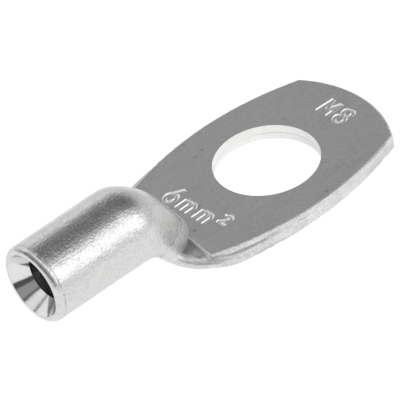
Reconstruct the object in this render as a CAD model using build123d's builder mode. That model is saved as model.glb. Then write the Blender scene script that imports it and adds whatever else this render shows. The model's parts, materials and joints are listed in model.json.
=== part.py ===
from build123d import *
import os

# Tubular cable lug, a copper tube with one round end and one end pressed flat.
# Millimetres. The origin is the centre of the stud hole on the palm's underside.
# +X runs from the barrel's mouth to the palm's tip, and +Z is up, out of the palm's top face.

# Pad: the raised, coined face of the palm
palm_thickness = 1.33
palm_half_width = 7.0
palm_widest_x = -0.7
palm_tip_x = 9.85
tip_corner_x = 8.2
tip_corner_half_width = 5.42
shoulder_x = -9.75
shoulder_corner_x = -10.36
shoulder_corner_half_width = 5.11
palm_edge_radius = 0.2
stud_hole_diameter = 8.4

# Sole: the lower pressed layer, wider than the pad near the neck
sole_thickness = 0.95
sole_overhang = 0.12
heel_x = -12.0
heel_corner_x = -9.5
heel_corner_half_width = 6.15
heel_corner_radius = 4.0
sole_top_radius = 0.35
sole_bottom_radius = 0.22

# Barrel and its countersunk mouth
barrel_diameter = 6.56
barrel_axis_height = 4.24
mouth_x = -23.4
rim_radius = 0.5
bore_diameter = 3.75
lip_width = 0.08
funnel_depth = 1.4

# Nose: the top of the neck, which runs down from the barrel into the pad
neck_start_x = -15.3
nose_start_x = -13.5
nose_end_x = -8.85
nose_taper = 0.98
nose_fall_power = 2.3
nose_end_depth = 0.04
waist_start_x = -14.2
waist_end_x = -11.2
waist_end_depth = 0.13
keel_start_x = -13.4
keel_end_x = -11.6
nose_steps = 8

# Skirt: the sheet that spreads from the nose's flanks to a rounded fold at each side
skirt_start_x = -13.6
skirt_end_x = -9.2
skirt_start_half_width = 2.2
skirt_end_half_width = 5.95
skirt_start_height = 1.04
skirt_end_height = 0.5
skirt_bottom_height = 0.05
fold_radius = 0.4
fold_lift = 0.35
skirt_inset = 0.05
spread_start_x = -12.6
spread_end_x = -10.6
spread_share = 0.6
skirt_steps = 4

# Pockets: the small hollows between the skirt's crest and the pad's shoulder
pocket_floor = 0.62
pocket_front_x = -11.9
pocket_inner_half_width = 2.0
pocket_back_x = -9.9
pocket_corner_x = -10.2
pocket_corner_half_width = 4.95

# Cavity: the conductor bore, which closes down to the pressed seam inside the neck
cavity_end_x = -10.8
seam_half_width = 0.75
seam_bottom_height = 1.2
seam_top_height = 1.73
cavity_steps = 4

barrel_radius = barrel_diameter / 2
barrel_bottom = barrel_axis_height - barrel_radius
barrel_top = barrel_axis_height + barrel_radius
bore_radius = bore_diameter / 2
funnel_radius = barrel_radius - rim_radius - lip_width


def blend(first, last, share):
    """Value between the first and the last one, at a share of the way."""
    return first + (last - first) * share


def ease(x, start, finish):
    """Smooth step from 0 at the start to 1 at the finish."""
    share = min(max((x - start) / (finish - start), 0), 1)
    return share * share * (3 - 2 * share)


def stations(start, finish, steps):
    """Evenly spaced places along the lug, both ends included."""
    return [blend(start, finish, step / steps) for step in range(steps + 1)]


def nose_size(x):
    """Half width, keel, waist and crown heights of the nose at one place along the lug."""
    run = max((x - nose_start_x) / (nose_end_x - nose_start_x), 0)
    half_width = barrel_radius * (1 - nose_taper * run**2) ** 0.5
    keel = blend(barrel_bottom, sole_thickness / 2, ease(x, keel_start_x, keel_end_x))
    waist = blend(barrel_axis_height, palm_thickness - waist_end_depth, ease(x, waist_start_x, waist_end_x))
    fall = ((x - neck_start_x) / (nose_end_x - neck_start_x)) ** nose_fall_power
    crown = blend(barrel_top, palm_thickness - nose_end_depth, fall)
    return half_width, keel, waist, crown


def draw_nose(half_width, keel, waist, crown):
    """Draws two half ellipses that share their width, one above the waist and one below it."""
    EllipticalCenterArc((0, waist), half_width, crown - waist, start_angle=0, arc_size=180)
    EllipticalCenterArc((0, waist), half_width, waist - keel, start_angle=180, arc_size=180)


def draw_skirt(x):
    """Draws the skirt's section at one place: a sheet and a fold on each side, and the bottom."""
    half_width, keel, top, crown = nose_size(x)
    root = half_width - skirt_inset
    rim = blend(skirt_start_half_width, skirt_end_half_width, ease(x, skirt_start_x, skirt_end_x))
    drop = ease(x, skirt_start_x, keel_end_x)
    height = blend(barrel_bottom + skirt_start_height, skirt_end_height, drop)
    bottom = height - blend(fold_radius / 2, skirt_end_height - skirt_bottom_height, drop)
    spread = ease(x, spread_start_x, spread_end_x)
    pull = (blend(root, rim, spread_share * spread), blend(top, height, (1 - spread) / 2))
    sheet = Bezier((root, top), pull, (rim, height + fold_lift), (rim, height))
    centre = (rim - fold_radius, height)
    fold = EllipticalCenterArc(centre, fold_radius, height - bottom, start_angle=270, arc_size=90)
    mirror(sheet, about=Plane.YZ)
    mirror(fold, about=Plane.YZ)
    Line((-root, top), (root, top))
    Line((fold_radius - rim, bottom), (rim - fold_radius, bottom))


with BuildPart() as nose:
    for x in stations(neck_start_x, nose_end_x, nose_steps):
        with BuildSketch(Plane.YZ.offset(x)):
            with BuildLine():
                draw_nose(*nose_size(x))
            make_face()
    loft()

with BuildPart() as skirt:
    for x in stations(skirt_start_x, skirt_end_x, skirt_steps):
        with BuildSketch(Plane.YZ.offset(x)):
            with BuildLine():
                draw_skirt(x)
            make_face()
    loft()

# Sole: heel arc, long sides and tip
with BuildPart() as sole:
    with BuildSketch():
        with BuildLine():
            side = ThreePointArc(
                (tip_corner_x, tip_corner_half_width),
                (palm_widest_x, palm_half_width + sole_overhang),
                (heel_corner_x, heel_corner_half_width),
            )
            ThreePointArc(side @ 1, (heel_x, 0), (heel_corner_x, -heel_corner_half_width))
            mirror(side, about=Plane.XZ)
            ThreePointArc(
                (tip_corner_x, -tip_corner_half_width), (palm_tip_x, 0), (tip_corner_x, tip_corner_half_width)
            )
        make_face()
    extrude(amount=sole_thickness)
    fillet(sole.edges().filter_by(Axis.Z).group_by(Axis.X)[0], heel_corner_radius)
    folds = sole.edges().filter_by(Axis.Z, reverse=True).filter_by_position(
        Axis.X, minimum=heel_x - 1, maximum=tip_corner_x - 1
    )
    fillet(folds.group_by(Axis.Z)[-1], sole_top_radius)
    fillet(sole.edges().group_by(Axis.Z)[0], sole_bottom_radius)

# Pad: the coined face above the sole
with BuildPart() as pad:
    with BuildSketch(Plane.XY.offset(sole_thickness / 2)):
        with BuildLine():
            side = ThreePointArc(
                (tip_corner_x, tip_corner_half_width),
                (palm_widest_x, palm_half_width),
                (shoulder_corner_x, shoulder_corner_half_width),
            )
            Polyline(side @ 1, (shoulder_x, 0), (shoulder_corner_x, -shoulder_corner_half_width))
            mirror(side, about=Plane.XZ)
            ThreePointArc(
                (tip_corner_x, -tip_corner_half_width), (palm_tip_x, 0), (tip_corner_x, tip_corner_half_width)
            )
        make_face()
    extrude(amount=palm_thickness - sole_thickness / 2)
    fillet(pad.edges().group_by(Axis.Z)[-1], palm_edge_radius)

with BuildPart() as cavity:
    for x in stations(neck_start_x, cavity_end_x, cavity_steps):
        share = (x - neck_start_x) / (cavity_end_x - neck_start_x)
        closing = ease(x, nose_start_x, cavity_end_x)
        bottom = blend(barrel_axis_height - bore_radius, seam_bottom_height, closing)
        top = blend(barrel_axis_height + bore_radius, seam_top_height, share**nose_fall_power)
        with BuildSketch(Plane.YZ.offset(x)):
            with Locations((0, (bottom + top) / 2)):
                Ellipse(blend(bore_radius, seam_half_width, share**3), (top - bottom) / 2)
    loft(ruled=True)

with BuildPart() as lug:
    add(sole.part)
    add(skirt.part)
    with BuildSketch(Plane.XY.offset(pocket_floor)):
        with BuildLine():
            Polyline(
                (pocket_front_x, pocket_inner_half_width),
                (pocket_corner_x, pocket_corner_half_width),
                (pocket_back_x, pocket_corner_half_width),
                (pocket_back_x, pocket_inner_half_width),
                close=True,
            )
        make_face()
        mirror(about=Plane.XZ)
    extrude(amount=barrel_axis_height, mode=Mode.SUBTRACT)
    add(pad.part)
    add(nose.part)
    with BuildSketch(Plane.XZ):
        with BuildLine():
            rim_start = (mouth_x + rim_radius, barrel_top)
            crest = (mouth_x, barrel_top - rim_radius)
            Polyline(
                crest,
                (mouth_x, barrel_axis_height),
                (neck_start_x, barrel_axis_height),
                (neck_start_x, barrel_top),
                rim_start,
            )
            RadiusArc(rim_start, crest, -rim_radius)
        make_face()
    revolve(axis=Axis((0, 0, barrel_axis_height), (1, 0, 0)))
    with BuildSketch(Plane.XZ):
        with BuildLine():
            Polyline(
                (mouth_x, barrel_axis_height),
                (mouth_x, barrel_axis_height + funnel_radius),
                (mouth_x + funnel_depth, barrel_axis_height + bore_radius),
                (neck_start_x, barrel_axis_height + bore_radius),
                (neck_start_x, barrel_axis_height),
                close=True,
            )
        make_face()
    revolve(axis=Axis((0, 0, barrel_axis_height), (1, 0, 0)), mode=Mode.SUBTRACT)
    add(cavity.part, mode=Mode.SUBTRACT)
    Hole(stud_hole_diameter / 2)

lug.part.label = "lug"
os.makedirs("parts", exist_ok=True)
export_step(lug.part, "parts/lug.step")
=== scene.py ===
"""Visual model of a tinned copper cable lug, dressed over its CAD solid.

The lug is one pressed piece of tube. Its skin is a smooth-shaded copy of the CAD solid, with the
size marks stamped into the palm, the fold's seam in the stud hole's wall, and the turned mouth with
the uneven groove behind its rim. Sizes are in metres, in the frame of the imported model.
"""
import json
import logging
import math
from dataclasses import dataclass, field
from enum import Enum

import bpy
from mathutils import Matrix, Vector

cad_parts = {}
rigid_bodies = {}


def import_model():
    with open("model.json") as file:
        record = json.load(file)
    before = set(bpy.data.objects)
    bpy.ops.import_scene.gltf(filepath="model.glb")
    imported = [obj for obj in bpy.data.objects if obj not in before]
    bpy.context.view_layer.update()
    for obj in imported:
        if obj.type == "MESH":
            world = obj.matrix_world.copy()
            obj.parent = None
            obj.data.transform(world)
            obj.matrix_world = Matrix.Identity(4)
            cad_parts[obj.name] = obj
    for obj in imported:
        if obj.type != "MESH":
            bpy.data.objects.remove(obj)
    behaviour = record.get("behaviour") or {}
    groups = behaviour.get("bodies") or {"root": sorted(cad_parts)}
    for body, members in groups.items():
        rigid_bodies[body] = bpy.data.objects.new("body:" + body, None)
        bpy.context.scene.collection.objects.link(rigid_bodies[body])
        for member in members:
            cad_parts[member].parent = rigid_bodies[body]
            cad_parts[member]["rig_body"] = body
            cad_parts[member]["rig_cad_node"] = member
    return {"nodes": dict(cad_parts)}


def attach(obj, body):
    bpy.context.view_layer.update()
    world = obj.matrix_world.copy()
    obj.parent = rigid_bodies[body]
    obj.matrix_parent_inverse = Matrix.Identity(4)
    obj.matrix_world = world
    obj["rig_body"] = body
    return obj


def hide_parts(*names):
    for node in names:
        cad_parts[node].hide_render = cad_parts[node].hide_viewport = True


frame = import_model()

logging.basicConfig(level=logging.INFO, format="%(message)s")
LOG = logging.getLogger("cable_lug")

MM = 0.001
LENGTHWISE = (0.0, math.radians(90), 0.0)
RUBBED_TIN = (0.93, 0.93, 0.92, 1.0)
SPECK_GREY = (0.32, 0.32, 0.33, 1.0)

Colour = tuple[float, float, float, float]
Direction = tuple[float, float, float]
Point = tuple[float, float]
Steps = tuple[tuple[float, float], ...]
Tree = bpy.types.ShaderNodeTree
Socket = bpy.types.NodeSocket


def deselect_all() -> None:
    """Leave edit mode and select nothing."""
    if bpy.context.object is not None and bpy.context.object.mode != "OBJECT":
        bpy.ops.object.mode_set(mode="OBJECT")
    bpy.ops.object.select_all(action="DESELECT")


def activate(piece: bpy.types.Object) -> None:
    """Select one object alone and make it the active one.

    Args:
        piece: The object.
    """
    deselect_all()
    piece.select_set(True)
    bpy.context.view_layer.objects.active = piece


def bake_place(piece: bpy.types.Object) -> None:
    """Move an object's place, turn and size into its mesh.

    Args:
        piece: The object.
    """
    activate(piece)
    bpy.ops.object.transform_apply(location=True, rotation=True, scale=True)


def carve(piece: bpy.types.Object, cutter: bpy.types.Object) -> None:
    """Cut one mesh out of another and remove the cutter.

    Args:
        piece: The mesh that is cut.
        cutter: The closed mesh whose shape is taken away.
    """
    activate(piece)
    cut = piece.modifiers.new("cut", "BOOLEAN")
    cut.operation = "DIFFERENCE"
    cut.solver = "EXACT"
    cut.use_self = False
    cut.object = cutter
    bpy.ops.object.modifier_apply(modifier=cut.name)
    bpy.data.objects.remove(cutter, do_unlink=True)


def clear_picks(kind: str) -> None:
    """Select no part of the active mesh.

    Args:
        kind: The kind of part that is selected next, EDGE or FACE.
    """
    bpy.ops.object.mode_set(mode="EDIT")
    bpy.ops.mesh.select_mode(type=kind)
    bpy.ops.mesh.select_all(action="DESELECT")
    bpy.ops.object.mode_set(mode="OBJECT")


def feed(tree: Tree, target: Socket, value: Socket | float | Colour) -> None:
    """Link an output into an input, or give the input a value of its own.

    Args:
        tree: The node tree that both are in.
        target: The input.
        value: The output to link, or the plain value.
    """
    if isinstance(value, bpy.types.NodeSocket):
        tree.links.new(value, target)
    else:
        target.default_value = value


def add_range(
    tree: Tree, value: Socket, start: float, finish: float, low: float = 0.0, high: float = 1.0
) -> Socket:
    """Add a node that spreads a stretch of a value over another stretch.

    Args:
        tree: The node tree.
        value: The output that is read.
        start: Where its stretch begins.
        finish: Where its stretch ends.
        low: The result at the start.
        high: The result at the finish.

    Returns:
        The result, held between low and high.
    """
    node = tree.nodes.new("ShaderNodeMapRange")
    for name, number in (("From Min", start), ("From Max", finish), ("To Min", low), ("To Max", high)):
        node.inputs[name].default_value = number
    feed(tree, node.inputs["Value"], value)
    return node.outputs["Result"]


def add_math(tree: Tree, operation: str, *values: Socket | float, clamp: bool = False) -> Socket:
    """Add a node for one sum.

    Args:
        tree: The node tree.
        operation: The kind of sum.
        values: What goes into it, in order.
        clamp: Whether the result is held between 0 and 1.

    Returns:
        The result.
    """
    node = tree.nodes.new("ShaderNodeMath")
    node.operation = operation
    node.use_clamp = clamp
    for target, value in zip(node.inputs, values):
        feed(tree, target, value)
    return node.outputs["Value"]


def add_mix(
    tree: Tree,
    share: Socket | float,
    first: Socket | Colour,
    second: Socket | Colour,
    kind: str = "RGBA",
    blend: str = "MIX",
) -> Socket:
    """Add a node that mixes two colours or values.

    Args:
        tree: The node tree.
        share: How much of the second one is taken.
        first: The first one.
        second: The second one.
        kind: RGBA for colours, FLOAT for values.
        blend: The way that colours are mixed.

    Returns:
        The mixture.
    """
    node = tree.nodes.new("ShaderNodeMix")
    node.data_type = kind
    if kind == "RGBA":
        node.blend_type = blend
    feed(tree, node.inputs["Factor"], share)
    feed(tree, node.inputs["A"], first)
    feed(tree, node.inputs["B"], second)
    return node.outputs["Result"]


def add_noise(
    tree: Tree, place: Socket, scale: Socket, detail: float, roughness: float, distortion: float
) -> Socket:
    """Add a noise texture.

    Args:
        tree: The node tree.
        place: The point that is read.
        scale: How fine the noise is.
        detail: How many finer layers it has.
        roughness: How strong the finer layers are.
        distortion: How far it is pulled about.

    Returns:
        The noise, about 0.5 on average.
    """
    node = tree.nodes.new("ShaderNodeTexNoise")
    for name, number in (("Detail", detail), ("Roughness", roughness), ("Distortion", distortion)):
        node.inputs[name].default_value = number
    feed(tree, node.inputs["Vector"], place)
    feed(tree, node.inputs["Scale"], scale)
    return node.outputs["Fac"]


def add_bump(tree: Tree, height: Socket, depth: float, normal: Socket | None = None) -> Socket:
    """Add a node that makes the surface uneven.

    Args:
        tree: The node tree.
        height: How far up each spot is, from 0 to 1.
        depth: The depth from 0 to 1, in metres.
        normal: The direction that it starts from, where another bump comes first.

    Returns:
        The bumpy direction.
    """
    node = tree.nodes.new("ShaderNodeBump")
    node.inputs["Strength"].default_value = 1.0
    node.inputs["Distance"].default_value = depth
    feed(tree, node.inputs["Height"], height)
    if normal is not None:
        feed(tree, node.inputs["Normal"], normal)
    return node.outputs["Normal"]


def add_ramp(tree: Tree, value: Socket, steps: Steps, easing: str) -> Socket:
    """Add a ramp of greys.

    Args:
        tree: The node tree.
        value: The output that is read.
        steps: The place along the ramp and the grey of each step.
        easing: The way from step to step.

    Returns:
        The grey.
    """
    node = tree.nodes.new("ShaderNodeValToRGB")
    node.color_ramp.interpolation = easing
    elements = node.color_ramp.elements
    while len(elements) < len(steps):
        elements.new(0.5)
    for element, (place, grey) in zip(elements, steps):
        element.position = place
        element.color = (grey, grey, grey, 1.0)
    feed(tree, node.inputs["Fac"], value)
    return node.outputs["Color"]


def new_group(name: str, inputs: dict[str, str], outputs: tuple[str, ...]) -> Tree:
    """Start an empty shader node group with named sockets.

    Args:
        name: The group's name.
        inputs: The kind of each input, by its name.
        outputs: The names of the outputs, all of them values.

    Returns:
        The group, with its input and output nodes in place.
    """
    group = bpy.data.node_groups.new(name, "ShaderNodeTree")
    for socket, kind in inputs.items():
        group.interface.new_socket(name=socket, in_out="INPUT", socket_type=f"NodeSocket{kind}")
    for socket in outputs:
        group.interface.new_socket(name=socket, in_out="OUTPUT", socket_type="NodeSocketFloat")
    group.nodes.new("NodeGroupInput")
    group.nodes.new("NodeGroupOutput")
    return group


def add_group(tree: Tree, group: Tree, values: dict[str, Socket | float]) -> bpy.types.ShaderNodeGroup:
    """Add a node group to a material.

    Args:
        tree: The material's node tree.
        group: The group.
        values: What goes into its inputs, by their names.

    Returns:
        The group's node.
    """
    node = tree.nodes.new("ShaderNodeGroup")
    node.node_tree = group
    for name, value in values.items():
        feed(tree, node.inputs[name], value)
    return node


def grain_group() -> Tree:
    """Make the group that gives the tin its uneven skin.

    Returns:
        A group that reads a place and the scales of its peel, clouds and specks. It puts out the
        peel's height, the same as a grain with more contrast, the clouds and the specks.
    """
    scales = {"Peel scale": "Float", "Cloud scale": "Float", "Speck scale": "Float"}
    group = new_group("tin_grain", {"Place": "Vector"} | scales, ("Peel", "Grain", "Cloud", "Speck"))
    start, end = group.nodes["Group Input"].outputs, group.nodes["Group Output"].inputs
    place = start["Place"]

    peel = add_noise(group, place, start["Peel scale"], detail=3.0, roughness=0.6, distortion=0.0)
    feed(group, end["Peel"], peel)
    feed(group, end["Grain"], add_range(group, peel, 0.36, 0.64))

    noise = add_noise(group, place, start["Cloud scale"], detail=5.0, roughness=0.62, distortion=0.6)
    cloud = add_range(group, noise, 0.35, 0.7)
    feed(group, end["Cloud"], cloud)

    cells = group.nodes.new("ShaderNodeTexVoronoi")
    feed(group, cells.inputs["Vector"], place)
    feed(group, cells.inputs["Scale"], start["Speck scale"])
    speck = add_range(group, cells.outputs["Distance"], 0.05, 0.16, low=1.0, high=0.0)
    feed(group, end["Speck"], add_math(group, "MULTIPLY", speck, cloud))
    return group


def wear_group() -> Tree:
    """Make the group that finds rubbed edges from how pointed the surface is.

    Returns:
        A group with the inputs Breakup and Strength and the output Rub.
    """
    group = new_group("edge_rub", {"Breakup": "Float", "Strength": "Float"}, ("Rub",))
    start, end = group.nodes["Group Input"].outputs, group.nodes["Group Output"].inputs
    geometry = group.nodes.new("ShaderNodeNewGeometry")
    edge = add_range(group, geometry.outputs["Pointiness"], 0.52, 0.6)
    broken = add_math(group, "MULTIPLY", edge, start["Breakup"])
    feed(group, end["Rub"], add_math(group, "MULTIPLY", broken, start["Strength"], clamp=True))
    return group


@dataclass(frozen=True)
class TinFinish:
    """A finish of the tin plating: its colours, gloss, and the depth and size of its grain."""

    name: str
    base: Colour
    dull: Colour
    roughness: float
    roughness_dull: float
    peel_depth: float
    cloud_depth: float
    peel_scale: float = 3000.0
    cloud_scale: float = 400.0
    speck_scale: float = 1500.0
    speck_share: float = 0.1
    grain_share: float = 0.0
    rub: float = 0.2

    def build(self, grain: Tree, wear: Tree) -> bpy.types.Material:
        """Make the node material of this finish.

        Args:
            grain: The shared group for the tin's grain.
            wear: The shared group for rubbed edges.

        Returns:
            The material.
        """
        material = bpy.data.materials.new(self.name)
        material.use_nodes = True
        tree = material.node_tree
        shader = tree.nodes["Principled BSDF"].inputs
        place = tree.nodes.new("ShaderNodeTexCoord").outputs["Object"]
        skin = add_group(tree, grain, {
            "Place": place,
            "Peel scale": self.peel_scale,
            "Cloud scale": self.cloud_scale,
            "Speck scale": self.speck_scale,
        }).outputs
        rub = add_group(tree, wear, {"Breakup": skin["Cloud"], "Strength": self.rub}).outputs["Rub"]

        blotch = add_mix(tree, self.grain_share, skin["Cloud"], skin["Grain"], kind="FLOAT")
        tone = add_mix(tree, blotch, self.base, self.dull)
        rubbed = add_mix(tree, rub, tone, RUBBED_TIN)
        specks = add_math(tree, "MULTIPLY", skin["Speck"], self.speck_share)
        feed(tree, shader["Base Color"], add_mix(tree, specks, rubbed, SPECK_GREY))

        gloss = add_range(tree, skin["Cloud"], 0.0, 1.0, self.roughness, self.roughness_dull)
        peel = add_bump(tree, skin["Peel"], self.peel_depth)
        waves = add_bump(tree, skin["Cloud"], self.cloud_depth, peel)
        feed(tree, shader["Metallic"], 1.0)
        feed(tree, shader["Roughness"], gloss)
        feed(tree, shader["Normal"], waves)
        return material


class Zone(Enum):
    """The parts of the skin that have a finish of their own, by material slot."""

    BARREL = 0
    PALM = 1
    FUNNEL = 2
    STAMP = 3
    HOLE_WALL = 4
    SIDE = 5


FINISHES = {
    Zone.BARREL: TinFinish(
        name="tumbled_tin", base=(0.86, 0.86, 0.85, 1.0), dull=(0.68, 0.68, 0.68, 1.0),
        roughness=0.18, roughness_dull=0.28, peel_depth=0.034 * MM, cloud_depth=0.012 * MM,
        peel_scale=5600.0, cloud_scale=1100.0, speck_scale=2200.0,
        speck_share=0.45, grain_share=0.65, rub=0.4,
    ),
    Zone.PALM: TinFinish(
        name="coined_tin", base=(0.84, 0.84, 0.83, 1.0), dull=(0.7, 0.7, 0.7, 1.0),
        roughness=0.16, roughness_dull=0.26, peel_depth=0.003 * MM, cloud_depth=0.01 * MM,
        cloud_scale=300.0, speck_scale=700.0,
        speck_share=0.7, grain_share=0.35, rub=0.3,
    ),
    Zone.FUNNEL: TinFinish(
        name="turned_tin", base=(0.86, 0.86, 0.85, 1.0), dull=(0.8, 0.8, 0.8, 1.0),
        roughness=0.1, roughness_dull=0.15, peel_depth=0.001 * MM, cloud_depth=0.004 * MM,
    ),
    # The marks' grooves take a rougher tin than the palm's, and a lighter one: the lighter tone is painted
    # highlight on the groove walls.
    Zone.STAMP: TinFinish(
        name="stamped_tin_painted_highlight", base=(0.96, 0.96, 0.95, 1.0), dull=(0.9, 0.9, 0.89, 1.0),
        roughness=0.3, roughness_dull=0.4, peel_depth=0.004 * MM, cloud_depth=0.01 * MM,
    ),
    Zone.HOLE_WALL: TinFinish(
        name="bored_tin", base=(0.97, 0.97, 0.96, 1.0), dull=(0.92, 0.92, 0.91, 1.0),
        roughness=0.25, roughness_dull=0.35, peel_depth=0.004 * MM, cloud_depth=0.006 * MM,
    ),
    Zone.SIDE: TinFinish(
        name="pressed_tin", base=(0.95, 0.95, 0.94, 1.0), dull=(0.68, 0.68, 0.68, 1.0),
        roughness=0.48, roughness_dull=0.6, peel_depth=0.02 * MM, cloud_depth=0.01 * MM,
        peel_scale=5600.0, cloud_scale=1100.0, speck_scale=2200.0,
        speck_share=0.4, grain_share=0.6, rub=0.5,
    ),
}


@dataclass(frozen=True)
class Punch:
    """One character of a hand stamp, in a cell that is 1 high.

    A stroke is a start and an end. A ring is a centre, its radius across and its radius up.
    """

    width: float
    strokes: tuple[tuple[Point, Point], ...] = ()
    rings: tuple[tuple[Point, float, float], ...] = ()


class Stamp(Enum):
    """The punches that the size marks are made with."""

    SIX = Punch(0.56, (((0.07, 0.36), (0.4, 1.0)),), (((0.28, 0.28), 0.24, 0.28),))
    EIGHT = Punch(0.56, (), (((0.28, 0.25), 0.26, 0.26), ((0.28, 0.77), 0.24, 0.24)))
    LARGE_M = Punch(
        0.72,
        (
            ((0.04, 0.0), (0.08, 1.0)),
            ((0.08, 1.0), (0.36, 0.35)),
            ((0.36, 0.35), (0.64, 1.0)),
            ((0.64, 1.0), (0.68, 0.0)),
        ),
    )
    SMALL_M = Punch(
        0.74,
        (
            ((0.06, 0.0), (0.06, 0.62)),
            ((0.37, 0.0), (0.37, 0.56)),
            ((0.68, 0.0), (0.68, 0.5)),
            ((0.06, 0.56), (0.22, 0.66)),
            ((0.22, 0.66), (0.37, 0.56)),
            ((0.37, 0.56), (0.53, 0.66)),
            ((0.53, 0.66), (0.68, 0.5)),
        ),
    )
    SQUARED = Punch(
        0.44,
        (
            ((0.02, 0.98), (0.18, 1.1)),
            ((0.18, 1.1), (0.38, 0.98)),
            ((0.38, 0.98), (0.02, 0.52)),
            ((0.02, 0.52), (0.42, 0.52)),
        ),
    )


@dataclass
class SizeMark:
    """A plain size mark that is stamped into the palm's top face, read along -Y."""

    stamps: tuple[Stamp, ...]
    foot_x: float
    start_y: float
    height: float
    gap: float = 0.3
    stroke_radius: float = 0.23 * MM
    stroke_lift: float = 0.08 * MM
    stroke_sides: int = 16
    end_round_share: float = 0.6
    end_round_steps: int = 3
    ring_segments: int = 40
    ring_sides: int = 14
    mesh_size: float = 0.045 * MM

    def place_in(self, spot: Point, left_y: float, surface_z: float) -> Vector:
        """Find the place of a spot of a punch.

        Args:
            spot: The spot in its cell, across and up.
            left_y: The cell's left side.
            surface_z: The height of the face that is stamped.

        Returns:
            The place.
        """
        across, up = spot
        return Vector((
            self.foot_x + up * self.height,
            left_y - across * self.height,
            surface_z + self.stroke_lift,
        ))

    def add_stroke(self, start: Vector, end: Vector) -> bpy.types.Object:
        """Make one straight stroke of a punch, a bar with round ends.

        Args:
            start: Where it starts.
            end: Where it ends.

        Returns:
            The bar, in its place.
        """
        way = end - start
        deselect_all()
        bpy.ops.mesh.primitive_cylinder_add(
            vertices=self.stroke_sides,
            radius=self.stroke_radius,
            depth=way.length + self.stroke_radius,
            end_fill_type="NGON",
        )
        bar = bpy.context.object
        clear_picks("FACE")
        for face in bar.data.polygons:
            face.select = len(face.vertices) == self.stroke_sides
        bpy.ops.object.mode_set(mode="EDIT")
        bpy.ops.mesh.bevel(offset=self.stroke_radius * self.end_round_share, segments=self.end_round_steps)
        bpy.ops.object.mode_set(mode="OBJECT")
        turn = way.to_track_quat("Z", "Y").to_matrix().to_4x4()
        bar.matrix_world = Matrix.Translation((start + end) / 2) @ turn
        bake_place(bar)
        return bar

    def add_ring(self, centre: Vector, across: float, up: float) -> bpy.types.Object:
        """Make one ring of a punch.

        Args:
            centre: The ring's middle.
            across: Its radius across the cell.
            up: Its radius up the cell.

        Returns:
            The ring, in its place.
        """
        deselect_all()
        bpy.ops.mesh.primitive_torus_add(
            major_radius=across * self.height,
            minor_radius=self.stroke_radius,
            major_segments=self.ring_segments,
            minor_segments=self.ring_sides,
        )
        ring = bpy.context.object
        bpy.ops.object.mode_set(mode="EDIT")
        bpy.ops.mesh.select_all(action="SELECT")
        bpy.ops.transform.resize(value=(up / across, 1.0, 1.0))
        bpy.ops.object.mode_set(mode="OBJECT")
        ring.matrix_world = Matrix.Translation(centre)
        bake_place(ring)
        return ring

    def fuse(self, bars: list[bpy.types.Object]) -> bpy.types.Object:
        """Join the bars or the ring of one punch into one closed mesh.

        Args:
            bars: The pieces, in their places.

        Returns:
            The closed mesh.
        """
        activate(bars[0])
        for bar in bars[1:]:
            bar.select_set(True)
        if len(bars) > 1:
            bpy.ops.object.join()
        cutter = bpy.context.object
        cutter.name = "punch"
        skin = cutter.modifiers.new("one_skin", "REMESH")
        skin.mode = "VOXEL"
        skin.voxel_size = self.mesh_size
        bpy.ops.object.modifier_apply(modifier=skin.name)
        return cutter

    def strike(self, piece: bpy.types.Object, surface_z: float) -> None:
        """Stamp the mark into a piece, one blow for each ring and one for the strokes of each stamp.

        Args:
            piece: The mesh that is stamped.
            surface_z: The height of its face there.
        """
        left_y = self.start_y
        for stamp in self.stamps:
            punch = stamp.value
            for centre, across, up in punch.rings:
                carve(piece, self.fuse([self.add_ring(self.place_in(centre, left_y, surface_z), across, up)]))
            bars = [
                self.add_stroke(*(self.place_in(spot, left_y, surface_z) for spot in stroke))
                for stroke in punch.strokes
            ]
            if bars:
                carve(piece, self.fuse(bars))
            left_y -= (punch.width + self.gap) * self.height


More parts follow.
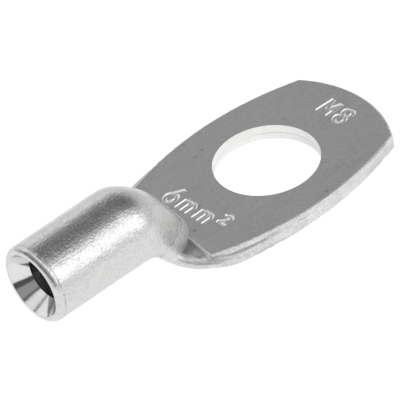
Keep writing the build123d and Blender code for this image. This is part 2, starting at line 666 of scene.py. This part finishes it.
@dataclass
class LugSkin:
    """The whole lug, one piece: barrel, neck, palm and mouth."""

    palm_top: float = 1.33 * MM
    hole_radius: float = 4.2 * MM
    axis_height: float = 4.24 * MM
    mouth_x: float = -23.4 * MM
    funnel_depth: float = 1.4 * MM
    funnel_radius: float = 2.7 * MM
    funnel_run_out: float = 0.2 * MM
    bore_radius: float = 1.875 * MM
    bore_end_x: float = -15.5 * MM
    skim: float = 0.004 * MM
    round_sides: int = 160

    seam_height: float = 0.59 * MM
    seam_width: float = 0.05 * MM
    seam_sides: int = 6
    rim_groove_x: float = -22.85 * MM
    rim_groove_radius: float = 3.285 * MM
    rim_groove_width: float = 0.13 * MM
    rim_groove_sway: float = 0.07 * MM
    rim_groove_segments: int = 140
    rim_groove_sides: int = 8
    rim_groove_seed: int = 7

    palm_start_x: float = -10.5 * MM
    skirt_start_x: float = -12.9 * MM
    dull_height: float = 2.6 * MM
    marks_start_x: float = -9.3 * MM
    marks_half_width: float = 5.0 * MM
    marks_reach: float = 0.75
    marks_depth: float = 0.14 * MM
    hole_margin: float = 0.1 * MM
    hole_wall_margin: float = 0.06 * MM
    hair: float = 0.001 * MM
    steep_limit: float = 0.9
    level_limit: float = 0.999
    flat_limit: float = 0.9999

    weld_distance: float = 0.0005 * MM
    smooth_angle: float = math.radians(28)
    even_weight: int = 80
    marks: tuple[SizeMark, ...] = (
        SizeMark((Stamp.SIX, Stamp.SMALL_M, Stamp.SMALL_M, Stamp.SQUARED), -8.15 * MM, 3.0 * MM, 1.85 * MM),
        SizeMark((Stamp.LARGE_M, Stamp.EIGHT), 6.55 * MM, 1.5 * MM, 1.7 * MM),
    )
    piece: bpy.types.Object | None = field(default=None, init=False)

    def copy_solid(self) -> None:
        """Copy the CAD solid and join its loose triangles."""
        activate(frame["nodes"]["lug"])
        bpy.ops.object.duplicate(linked=False)
        self.piece = bpy.context.object
        self.piece.name = "lug_skin"
        self.piece.data.name = "lug_skin"
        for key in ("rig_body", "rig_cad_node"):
            if key in self.piece:
                del self.piece[key]
        self.piece.parent = None
        self.weld()
        LOG.info("lug skin: %d faces copied", len(self.piece.data.polygons))

    def weld(self) -> None:
        """Join the points that lie on each other, and drop slivers and loose bits."""
        activate(self.piece)
        bpy.ops.object.mode_set(mode="EDIT")
        bpy.ops.mesh.select_all(action="SELECT")
        bpy.ops.mesh.remove_doubles(threshold=self.weld_distance)
        bpy.ops.mesh.dissolve_degenerate(threshold=self.weld_distance)
        bpy.ops.mesh.delete_loose()
        bpy.ops.object.mode_set(mode="OBJECT")

    def stamp_marks(self) -> None:
        """Stamp the size marks into the palm's top face."""
        for mark in self.marks:
            mark.strike(self.piece, self.palm_top)
        LOG.info("lug skin: %d faces with the marks", len(self.piece.data.polygons))

    def cut_hole(self) -> None:
        """Cut the stud hole's wall anew, round, with the fold's fine seam around it."""
        radius = self.hole_radius + self.skim
        deselect_all()
        bpy.ops.mesh.primitive_cylinder_add(vertices=self.round_sides, radius=radius, depth=4 * self.palm_top)
        carve(self.piece, bpy.context.object)
        deselect_all()
        bpy.ops.mesh.primitive_torus_add(
            location=(0, 0, self.seam_height),
            major_radius=radius,
            minor_radius=self.seam_width / 2,
            major_segments=self.round_sides,
            minor_segments=self.seam_sides,
        )
        carve(self.piece, bpy.context.object)

    def cut_funnel(self) -> None:
        """Cut the mouth's funnel and the bore behind it anew, round, as a drill leaves them."""
        slope = (self.funnel_radius - self.bore_radius) / self.funnel_depth
        spare = slope * self.funnel_run_out
        middle_x = self.mouth_x + self.funnel_depth / 2
        deselect_all()
        bpy.ops.mesh.primitive_cone_add(
            vertices=self.round_sides,
            radius1=self.funnel_radius + spare + self.skim,
            radius2=self.bore_radius - spare + self.skim,
            depth=self.funnel_depth + 2 * self.funnel_run_out,
            location=(middle_x, 0, self.axis_height),
            rotation=LENGTHWISE,
        )
        cone = bpy.context.object
        bake_place(cone)
        carve(self.piece, cone)
        deselect_all()
        bpy.ops.mesh.primitive_cylinder_add(
            vertices=self.round_sides,
            radius=self.bore_radius + self.skim,
            depth=self.bore_end_x - middle_x,
            location=((middle_x + self.bore_end_x) / 2, 0, self.axis_height),
            rotation=LENGTHWISE,
        )
        drill = bpy.context.object
        bake_place(drill)
        carve(self.piece, drill)

    def cut_rim(self) -> None:
        """Cut the uneven groove that the mouth's tool left behind the rim."""
        deselect_all()
        bpy.ops.mesh.primitive_torus_add(
            location=(self.rim_groove_x, 0, self.axis_height),
            rotation=LENGTHWISE,
            major_radius=self.rim_groove_radius,
            minor_radius=self.rim_groove_width / 2,
            major_segments=self.rim_groove_segments,
            minor_segments=self.rim_groove_sides,
        )
        ring = bpy.context.object
        bake_place(ring)
        bpy.ops.object.mode_set(mode="EDIT")
        bpy.ops.mesh.select_all(action="SELECT")
        bpy.ops.transform.vertex_random(
            offset=self.rim_groove_sway, uniform=1.0, normal=0.0, seed=self.rim_groove_seed
        )
        bpy.ops.mesh.vertices_smooth(factor=0.5, repeat=3)
        bpy.ops.object.mode_set(mode="OBJECT")
        carve(self.piece, ring)

    def is_stamped(self, centre: Vector, normal: Vector) -> bool:
        """Tell whether a face belongs to a stamped mark.

        Args:
            centre: The face's middle.
            normal: The face's outward direction.

        Returns:
            Whether the face is part of a mark's groove.
        """
        if centre.x <= self.marks_start_x or abs(centre.y) >= self.marks_half_width:
            return False
        depth = self.palm_top - centre.z
        sunk = self.hair < depth < self.marks_depth and abs(normal.z) < self.level_limit
        clear = math.hypot(centre.x, centre.y) > self.hole_radius + self.hole_margin
        in_row = any(
            abs(centre.x - mark.foot_x - mark.height / 2) < mark.height * self.marks_reach
            for mark in self.marks
        )
        return sunk and clear and in_row

    def zone_of(self, centre: Vector, normal: Vector) -> Zone:
        """Tell which finish a face takes.

        Args:
            centre: The face's middle.
            normal: The face's outward direction.

        Returns:
            The zone of the skin that the face is in.
        """
        around = math.hypot(centre.y, centre.z - self.axis_height)
        in_funnel = self.mouth_x + 2 * self.hair < centre.x < self.mouth_x + self.funnel_depth
        if in_funnel and around < self.funnel_radius + 2 * self.skim:
            return Zone.FUNNEL
        at_hole = abs(math.hypot(centre.x, centre.y) - self.hole_radius) < self.hole_wall_margin
        if at_hole and abs(normal.z) < self.steep_limit:
            return Zone.HOLE_WALL
        on_top = centre.z > self.palm_top - 2 * self.hair and normal.z > self.level_limit
        if on_top and centre.x > self.palm_start_x:
            return Zone.PALM
        if self.is_stamped(centre, normal):
            return Zone.STAMP
        if centre.x > self.skirt_start_x and centre.z < self.dull_height:
            return Zone.SIDE
        return Zone.BARREL

    def dress(self, materials: dict[Zone, bpy.types.Material]) -> None:
        """Give each zone of the skin its finish, and shade the skin smooth.

        Args:
            materials: The material of each zone.
        """
        mesh = self.piece.data
        mesh.materials.clear()
        for zone in Zone:
            mesh.materials.append(materials[zone])
        for face in mesh.polygons:
            face.material_index = self.zone_of(face.center, face.normal).value
        activate(self.piece)
        bpy.ops.object.shade_smooth_by_angle(angle=self.smooth_angle)
        self.sharpen_borders()
        even = self.piece.modifiers.new("even_normals", "WEIGHTED_NORMAL")
        even.mode = "FACE_AREA"
        even.weight = self.even_weight
        even.keep_sharp = True
        bpy.ops.object.modifier_apply(modifier=even.name)
        self.level_flats()

    def sharpen_borders(self) -> None:
        """Mark the edges round the funnel and where the stamps break the palm's flat face."""
        mesh = self.piece.data
        clear_picks("EDGE")
        beside: dict[tuple[int, int], set[int]] = {}
        for face in mesh.polygons:
            for key in face.edge_keys:
                beside.setdefault(key, set()).add(face.material_index)
        stamped = {Zone.PALM.value, Zone.STAMP.value}
        for edge in mesh.edges:
            zones = beside.get(edge.key, set())
            edge.select = stamped <= zones or (Zone.FUNNEL.value in zones and len(zones) > 1)
        bpy.ops.object.mode_set(mode="EDIT")
        bpy.ops.mesh.mark_sharp()
        bpy.ops.object.mode_set(mode="OBJECT")

    def level_flats(self) -> None:
        """Make the flat faces shade flat right up to their rounded edges."""
        clear_picks("FACE")
        for face in self.piece.data.polygons:
            underside = face.normal.z < -self.flat_limit and face.center.z < self.hair
            face.select = face.material_index == Zone.PALM.value or underside
        bpy.ops.object.mode_set(mode="EDIT")
        bpy.ops.mesh.set_normals_from_faces(keep_sharp=True)
        bpy.ops.object.mode_set(mode="OBJECT")

    def build(self, materials: dict[Zone, bpy.types.Material]) -> bpy.types.Object:
        """Make the whole skin.

        The marks come first, because the round cuts leave hairline slits that spoil the stamping.

        Args:
            materials: The material of each zone.

        Returns:
            The finished piece.
        """
        self.copy_solid()
        self.stamp_marks()
        self.cut_hole()
        self.cut_funnel()
        self.cut_rim()
        self.weld()
        self.dress(materials)
        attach(self.piece, "root")
        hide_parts("lug")
        return self.piece


@dataclass
class Studio:
    """The floor, the light and the camera, at the photograph's viewing angle."""

    camera_place: Direction = (-0.40704, -0.57104, 0.56657)
    azimuth: float = math.radians(-35.029)
    elevation: float = math.radians(39.0022)
    roll: float = math.radians(-10.3791)
    focal_pixels: float = 11804.34
    frame_pixels: float = 400.0
    sensor_width: float = 36.0
    nearest_seen: float = 0.05
    farthest_seen: float = 20.0

    floor_size: float = 3.0
    floor_drop: float = 0.02 * MM
    floor_grey: Colour = (0.88, 0.88, 0.88, 1.0)
    floor_roughness: float = 0.9
    floor_glow: float = 0.6
    floor_glow_mirrored: float = 0.4

    ceiling: Direction = (0.57, 0.20, 0.79)
    ceiling_steps: Steps = ((0.74, 1.0), (0.82, 0.45), (0.875, 0.38), (0.95, 0.165))
    skyline_bottom: float = 0.08
    skyline_top: float = 0.14
    skyline_grey: float = 0.2
    mouth_side_start: float = -0.36
    mouth_side_end: float = -0.42
    mouth_side_steps: Steps = (
        (0.3, 0.08), (0.36, 0.34), (0.72, 0.34), (0.75, 0.08), (0.79, 0.08), (0.82, 0.95)
    )
    world_strength: float = 0.9

    lamp_direction: Direction = (0.40, -0.75, 0.47)
    lamp_distance: float = 0.6
    lamp_size: float = 0.42
    lamp_watts: float = 0.29

    def place_camera(self) -> None:
        """Put the camera where the photograph was taken from."""
        deselect_all()
        bpy.ops.object.camera_add(location=self.camera_place)
        camera = bpy.context.object
        back = Vector((
            math.sin(self.azimuth) * math.cos(self.elevation),
            -math.cos(self.azimuth) * math.cos(self.elevation),
            math.sin(self.elevation),
        ))
        level = Vector((math.cos(self.azimuth), math.sin(self.azimuth), 0.0))
        upright = back.cross(level)
        right = level * math.cos(self.roll) + upright * math.sin(self.roll)
        up = upright * math.cos(self.roll) - level * math.sin(self.roll)
        turn = Matrix((right, up, back)).transposed().to_4x4()
        camera.matrix_world = Matrix.Translation(self.camera_place) @ turn
        camera.data.sensor_width = self.sensor_width
        camera.data.lens = self.focal_pixels * self.sensor_width / self.frame_pixels
        camera.data.clip_start = self.nearest_seen
        camera.data.clip_end = self.farthest_seen
        bpy.context.scene.camera = camera

    def lay_floor(self) -> None:
        """Lay a white floor that shows white to the camera and keeps the lug's shadow."""
        deselect_all()
        bpy.ops.mesh.primitive_plane_add(size=self.floor_size, location=(0, 0, -self.floor_drop))
        floor = bpy.context.object
        floor.name = "floor"
        material = bpy.data.materials.new("white_floor")
        material.use_nodes = True
        tree = material.node_tree
        shader = tree.nodes["Principled BSDF"].inputs
        rays = tree.nodes.new("ShaderNodeLightPath").outputs
        mirrored = add_math(tree, "MULTIPLY", rays["Is Glossy Ray"], self.floor_glow_mirrored)
        seen = add_math(tree, "MULTIPLY_ADD", rays["Is Camera Ray"], self.floor_glow, mirrored)
        feed(tree, shader["Base Color"], self.floor_grey)
        feed(tree, shader["Roughness"], self.floor_roughness)
        feed(tree, shader["Specular IOR Level"], 0.0)
        feed(tree, shader["Emission Color"], (1.0, 1.0, 1.0, 1.0))
        feed(tree, shader["Emission Strength"], seen)
        floor.data.materials.append(material)

    def light_world(self) -> None:
        """Light the room evenly, with the greyer parts that the metal mirrors.

        The ceiling darkens towards one direction and the skyline is dim. The room on the mouth's
        side, which only the funnel mirrors, has greys of its own by height.
        """
        world = bpy.data.worlds.new("studio")
        bpy.context.scene.world = world
        world.use_nodes = True
        tree = world.node_tree
        direction = tree.nodes.new("ShaderNodeTexCoord").outputs["Generated"]
        split = tree.nodes.new("ShaderNodeSeparateXYZ")
        feed(tree, split.inputs["Vector"], direction)
        along = tree.nodes.new("ShaderNodeVectorMath")
        along.operation = "DOT_PRODUCT"
        feed(tree, along.inputs[0], direction)
        feed(tree, along.inputs[1], self.ceiling)

        ceiling = add_ramp(tree, along.outputs["Value"], self.ceiling_steps, "EASE")
        height = split.outputs["Z"]
        skyline = add_range(tree, height, self.skyline_bottom, self.skyline_top, low=self.skyline_grey)
        room = add_mix(tree, 1.0, ceiling, skyline, blend="MULTIPLY")
        mouth_side = add_range(tree, split.outputs["X"], self.mouth_side_start, self.mouth_side_end)
        mouth_room = add_ramp(tree, height, self.mouth_side_steps, "LINEAR")
        background = tree.nodes["Background"].inputs
        feed(tree, background["Color"], add_mix(tree, mouth_side, room, mouth_room))
        feed(tree, background["Strength"], self.world_strength)

    def hang_lamp(self) -> None:
        """Hang one square softbox that faces the lug."""
        deselect_all()
        way = Vector(self.lamp_direction).normalized()
        bpy.ops.object.light_add(type="AREA", location=way * self.lamp_distance)
        lamp = bpy.context.object
        lamp.name = "front_softbox"
        lamp.data.size = self.lamp_size
        lamp.data.energy = self.lamp_watts
        lamp.rotation_euler = way.to_track_quat("Z", "Y").to_euler()

    def build(self) -> None:
        """Set up the whole studio."""
        self.place_camera()
        self.lay_floor()
        self.light_world()
        self.hang_lamp()
        bpy.context.scene.view_settings.view_transform = "Standard"


def main() -> None:
    """Build the lug's skin and the studio."""
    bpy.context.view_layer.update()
    Studio().build()
    grain, wear = grain_group(), wear_group()
    skin = LugSkin().build({zone: finish.build(grain, wear) for zone, finish in FINISHES.items()})
    LOG.info("lug skin: %d faces", len(skin.data.polygons))


if __name__ == "__main__":
    main()
